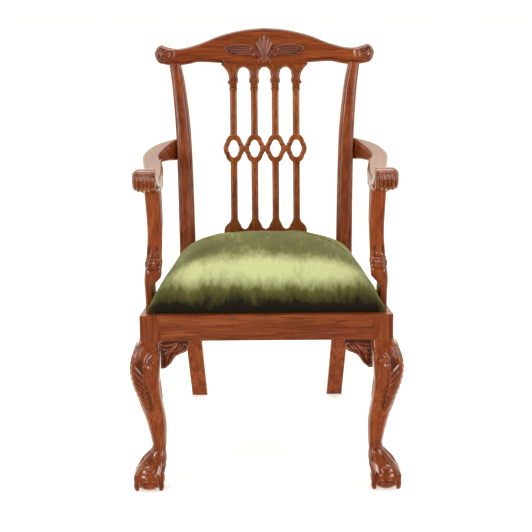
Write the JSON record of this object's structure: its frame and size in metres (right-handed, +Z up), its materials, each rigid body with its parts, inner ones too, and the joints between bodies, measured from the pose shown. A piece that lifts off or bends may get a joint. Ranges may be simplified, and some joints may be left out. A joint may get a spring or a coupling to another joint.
{
  "type": "armchair",
  "caption": "Carved open armchair with a pierced splat back, scrolled arms, cabriole front legs and a lift-out velvet seat.",
  "frame": {"origin": "on the floor, in the middle of the chair's overall box", "axes": "+Z up, -Y towards the front of the seat, +X towards the right as the chair is seen from the front; left and right in node names follow that view"},
  "size_m": [0.636, 0.64, 1.003],
  "materials": {
    "mahogany": "french polished gloss",
    "beech": "planed, unpolished",
    "screw_steel": "bright zinc",
    "tack_steel": "blued",
    "webbing": "woven jute",
    "hessian": "coarse weave",
    "stuffing": "soft fibre",
    "velvet": "shot velvet with a light sheen",
    "dust_cloth": "plain black cotton"
  },
  "bodies": {
    "chair_frame": {"left_back_post": "mahogany", "right_back_post": "mahogany", "crest_rail": "mahogany", "splat": "mahogany", "splat_shoe": "mahogany", "front_rail": "mahogany", "rear_rail": "mahogany", "left_side_rail": "mahogany", "right_side_rail": "mahogany", "rear_seat_ledge": "beech", "left_front_leg": "mahogany", "right_front_leg": "mahogany", "left_front_bracket": "mahogany", "right_front_bracket": "mahogany", "left_side_bracket": "mahogany", "right_side_bracket": "mahogany", "left_arm": "mahogany", "right_arm": "mahogany", "left_arm_support": "mahogany", "right_arm_support": "mahogany", "front_left_corner_block": "beech", "front_right_corner_block": "beech", "rear_left_corner_block": "beech", "rear_right_corner_block": "beech", "corner_block_screws": "screw_steel", "arm_screws": "screw_steel", "arm_screw_plugs": "mahogany", "arm_support_screws": "screw_steel", "ledge_screws": "screw_steel"},
    "drop_in_seat": {"seat_front_member": "beech", "seat_back_member": "beech", "seat_left_member": "beech", "seat_right_member": "beech", "lengthwise_webbing": "webbing", "crosswise_webbing": "webbing", "hessian": "hessian", "stuffing": "stuffing", "velvet_cover": "velvet", "dust_cover": "dust_cloth", "cover_tacks": "tack_steel"}
  },
  "joints": [
    {"name": "seat_lift", "type": "slide", "parent": "chair_frame", "child": "drop_in_seat", "axis": [0, 0, 1], "range_m": [0, 0.018]}
  ]
}
